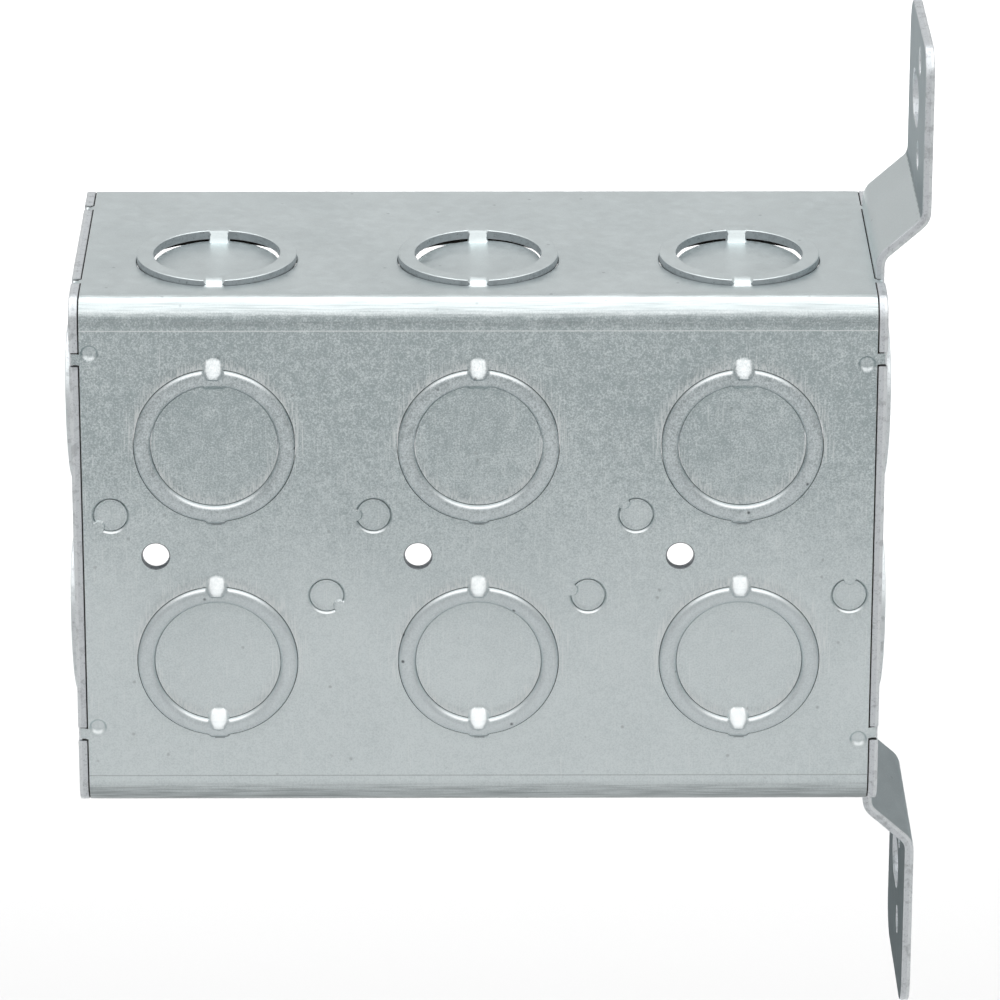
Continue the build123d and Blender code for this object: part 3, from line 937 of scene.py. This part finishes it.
def galvanised_steel(name, dark, light, roughness, fleck_share, painted_top_shade=-0.56, grazing="#ffffff"):
    """Hot-dip galvanised sheet, rolled and skin-passed: zinc grey with a cold cast and a satin gloss that
    blurs what it mirrors. A grain and a crystal mottle, stronger up the back, carry the colour from dark
    to light, and a painted shade, set for each material, darkens the back towards its top. Over that lie
    flecks, scratches with a painted highlight over the rings and along the slugs' lower rims, a painted
    highlight on the back's slopes that face up, a bright and a dark line along the back near its bends,
    streaks along the bends and painted shade on the lower bend. grazing tints what the sheet mirrors at a
    glancing angle."""
    material, tree, shader, place = metal(name, roughness)
    shader.inputs["Specular Tint"].default_value = linear(grazing)
    split = node(tree, "SeparateXYZ", {"Vector": place})
    on_back = node(tree, "MapRange", {"Value": split.outputs["Y"], "From Min": back_depths[0] * MM,
                                      "From Max": back_depths[1] * MM})

    # Grain 0.3 mm wide, coarser than the real one so that it shows, mottle of 2.2 mm and clouds of 24 mm
    grain = node(tree, "TexNoise",
                 {"Vector": place, "Scale": 1 / (0.3 * MM), "Detail": 2.0, "Roughness": 0.7})
    mottle = node(tree, "TexNoise", {"Vector": place, "Scale": 1 / (2.2 * MM), "Detail": 4.0,
                                     "Roughness": 0.65, "Distortion": 0.4})
    cloud = node(tree, "TexNoise", {"Vector": place, "Scale": 1 / (24 * MM), "Detail": 2.0})
    coarse = node(tree, "MapRange", {"Value": split.outputs["Z"], "From Min": -8 * MM, "From Max": 26 * MM,
                                     "To Min": 1.0, "To Max": 4.2})
    strength = node(tree, "Math", {0: on_back, 1: coarse, 2: 0.5}, operation="MULTIPLY_ADD")
    crystals = node(tree, "Mix", {0: 0.3, 2: grain, 3: mottle})
    crystals = node(tree, "Math", {0: crystals, 1: 0.5}, operation="SUBTRACT")
    pattern = node(tree, "Math", {0: crystals, 1: strength}, operation="MULTIPLY")
    # Painted shade: the back is painted darker towards its top
    upper = node(tree, "MapRange", {"Value": split.outputs["Z"], "From Min": -28 * MM, "From Max": 32 * MM,
                                    "To Min": 0.04, "To Max": painted_top_shade}, interpolation_type="SMOOTHSTEP")
    shade = node(tree, "Math", {0: on_back, 1: upper}, operation="MULTIPLY")
    tone = node(tree, "Math", {0: cloud, 1: 0.4, 2: pattern}, operation="MULTIPLY_ADD")
    tone = node(tree, "Math", {0: tone, 1: shade})
    tone = node(tree, "Math", {0: tone, 1: 0.65})
    base = node(tree, "Mix", {0: tone, 6: linear(dark), 7: linear(light)}, data_type="RGBA")

    layers = [(dark_flecks(tree, place, fleck_share), "#565d60"),
              (scratches_and_painted_highlight(tree, place, split, on_back), "#eef3f3"),
              (painted_slope_highlight(tree, on_back), "#fafcfc")]
    # A thin bright line and a thin dark line along the back near its bends, with sizes in millimetres
    for height, half_width, share, colour in ((42.4, 0.11, 0.7, "#f2f6f6"), (-41.5, 0.1, 0.35, "#6d7577")):
        line = node(tree, "Math", {0: split.outputs["Z"], 1: height * MM, 2: half_width * MM},
                    operation="COMPARE")
        line = node(tree, "Math", {0: line, 1: on_back}, operation="MULTIPLY")
        line = node(tree, "Math", {0: line, 1: share}, operation="MULTIPLY")
        layers.append((line, colour))
    # Streaks along the bends, and painted shade on the lower bend
    drawn, lower_bend_shade = bend_streaks_and_painted_shade(tree, place, split)
    layers += [(drawn, "#8d9698"), (lower_bend_shade, "#4d5254")]
    for share, colour in layers:
        base = node(tree, "Mix", {0: share, 6: base.outputs[2], 7: linear(colour)}, data_type="RGBA")
    tree.links.new(shader.inputs["Base Color"], base.outputs[2])

    blur = node(tree, "MapRange", {"Value": mottle, "From Min": 0.3, "From Max": 0.7,
                                   "To Min": roughness - 0.05, "To Max": roughness + 0.05})
    tree.links.new(shader.inputs["Roughness"], blur.outputs[0])
    waves = node(tree, "Bump", {"Strength": 1.0, "Distance": 0.05 * MM, "Height": cloud})
    relief = node(tree, "Bump",
                  {"Strength": 1.0, "Distance": 0.006 * MM, "Height": pattern, "Normal": waves})
    tree.links.new(shader.inputs["Normal"], relief.outputs[0])
    return material


def sheared_edge(name, dark, light, roughness, grain_size):
    """Sheared sheet edge of bare steel smeared with zinc: a bright and dark speckle of torn grains,
    grain_size millimetres wide, with grey smears about 2 mm wide over it."""
    material, tree, shader, place = metal(name, roughness)
    grain = node(tree, "TexNoise",
                 {"Vector": place, "Scale": 1 / (grain_size * MM), "Detail": 3.0, "Roughness": 0.7})
    share = node(tree, "MapRange", {"Value": grain, "From Min": 0.24, "From Max": 0.44})
    base = node(tree, "Mix", {0: share, 6: linear(dark), 7: linear(light)}, data_type="RGBA")
    smear = node(tree, "TexNoise",
                 {"Vector": place, "Scale": 1 / (2 * MM), "Detail": 4.0, "Roughness": 0.75})
    smeared = node(tree, "MapRange", {"Value": smear, "From Min": 0.52, "From Max": 0.64, "To Max": 0.35})
    base = node(tree, "Mix", {0: smeared, 6: base.outputs[2], 7: linear("#7c8184")}, data_type="RGBA")
    tree.links.new(shader.inputs["Base Color"], base.outputs[2])
    relief = node(tree, "Bump", {"Strength": 1.0, "Distance": 0.04 * MM, "Height": grain})
    tree.links.new(shader.inputs["Normal"], relief.outputs[0])
    return material


def studio_paper():
    """Matt pale studio paper: an even, soft light grey."""
    material = bpy.data.materials.new("pale_studio_paper")
    material.use_nodes = True
    shader = material.node_tree.nodes["Principled BSDF"]
    shader.inputs["Base Color"].default_value = linear("#d7d7d7")
    shader.inputs["Roughness"].default_value = 0.9
    return material


def area_light(name, place, target, width, height, power, spread=180):
    """A soft rectangular light at place, in metres, turned to target and gridded to spread degrees."""
    lamp = bpy.data.lights.new(name, "AREA")
    lamp.shape = "RECTANGLE"
    lamp.size = width
    lamp.size_y = height
    lamp.energy = power
    lamp.spread = math.radians(spread)
    holder = bpy.data.objects.new(name, lamp)
    holder.location = place
    holder.rotation_euler = (Vector(target) - Vector(place)).to_track_quat("-Z", "Y").to_euler()
    bpy.context.scene.collection.objects.link(holder)


def make_studio():
    """A wide pale floor below the lower ear, an even white surround and soft lights from above."""
    floor_drop = 0.25
    half = 4.0
    level = cad_bounds[0].z - floor_drop
    corners = [(-half, -half, level), (half, -half, level), (half, half, level), (-half, half, level)]
    mesh = bpy.data.meshes.new("floor")
    mesh.from_pydata(corners, [], [(0, 1, 2, 3)])
    mesh.materials.append(studio_paper())
    floor = bpy.data.objects.new("floor", mesh)
    bpy.context.scene.collection.objects.link(floor)
    world = bpy.data.worlds.new("white_surround")
    bpy.context.scene.world = world
    world.use_nodes = True
    surround = world.node_tree.nodes["Background"]
    surround.inputs["Color"].default_value = (1, 1, 1, 1)
    surround.inputs["Strength"].default_value = 0.6
    area_light("overhead_softbox", (0, -0.32, 0.95), (0, -0.32, 0), width=1.9, height=1.57, power=7.6)
    area_light("front_wash", (0, -1.3, 1.2), (0, -1.3, 0), width=3.0, height=0.9, power=4, spread=60)
    area_light("floor_wash", (0, 1.35, 1.6), (0, 1.35, 0), width=3.4, height=1.6, power=24, spread=70)


def make_camera():
    """A long lens at the photograph's place, turned to a point of the back and rolled a little. Its focal
    length is given in pixels of the photograph's frame, its place and target in millimetres."""
    frame_pixels = 1000
    focal_pixels = 6136
    sensor = 36.0
    roll_degrees = 0.07
    place = Vector((-3.0, -1064.9, 398.5)) * MM
    target = Vector((3.77, -63.5, 11.02)) * MM
    lens = bpy.data.cameras.new("camera")
    lens.sensor_width = sensor
    lens.lens = sensor * focal_pixels / frame_pixels
    holder = bpy.data.objects.new("camera", lens)
    holder.location = place
    roll = Matrix.Rotation(math.radians(roll_degrees), 4, "Z")
    turn = (target - place).to_track_quat("-Z", "Y").to_matrix().to_4x4() @ roll
    holder.rotation_euler = turn.to_euler()
    bpy.context.scene.collection.objects.link(holder)
    bpy.context.scene.camera = holder


# The materials, in the order of the finishes. The sheet is pale and satin. Its edges are bright where the
# tool burnished them and greyer where the steel fractured. The faces of the back's rings are zinc rubbed
# smooth by the die, with more flecks. Tapped holes are dark, and crevices are painted dark as shade. The
# ears are duller zinc painted darker as shade, darkest inside the lower ear. The knockouts' walls are
# torn, matt and grey, painted darker than the sheared edges as shade in the gaps
steel = [galvanised_steel("galvanised_sheet_steel", "#acb8ba", "#e2eaeb", 0.37, 0.3),
         sheared_edge("burnished_steel_edge", "#bac0c3", "#e6eaec", 0.4, 0.5),
         sheared_edge("fractured_steel_edge", "#a8aeb2", "#dce0e3", 0.45, 0.4),
         galvanised_steel("die_rubbed_zinc", "#acb6b8", "#dce4e6", 0.35, 0.9, painted_top_shade=-0.3),
         sheared_edge("tapped_steel", "#33363a", "#84898d", 0.45, 0.6),
         sheared_edge("crevice_painted_shade", "#1c1b1a", "#4a4642", 0.8, 0.8),
         galvanised_steel("dulled_zinc_painted_shade", "#98a2a5", "#cbd3d5", 0.42, 0.3, grazing="#898e90"),
         sheared_edge("torn_steel_wall_painted_shade", "#6d7275", "#b0b6b9", 0.5, 0.5),
         galvanised_steel("lower_ear_painted_shade", "#7a8285", "#9ba3a5", 0.45, 0.3, grazing="#666b6d")]
make_body(steel)
make_end_plate(-1, steel)
make_end_plate(1, steel)
make_studio()
make_camera()
bpy.context.scene.view_settings.view_transform = "Standard"
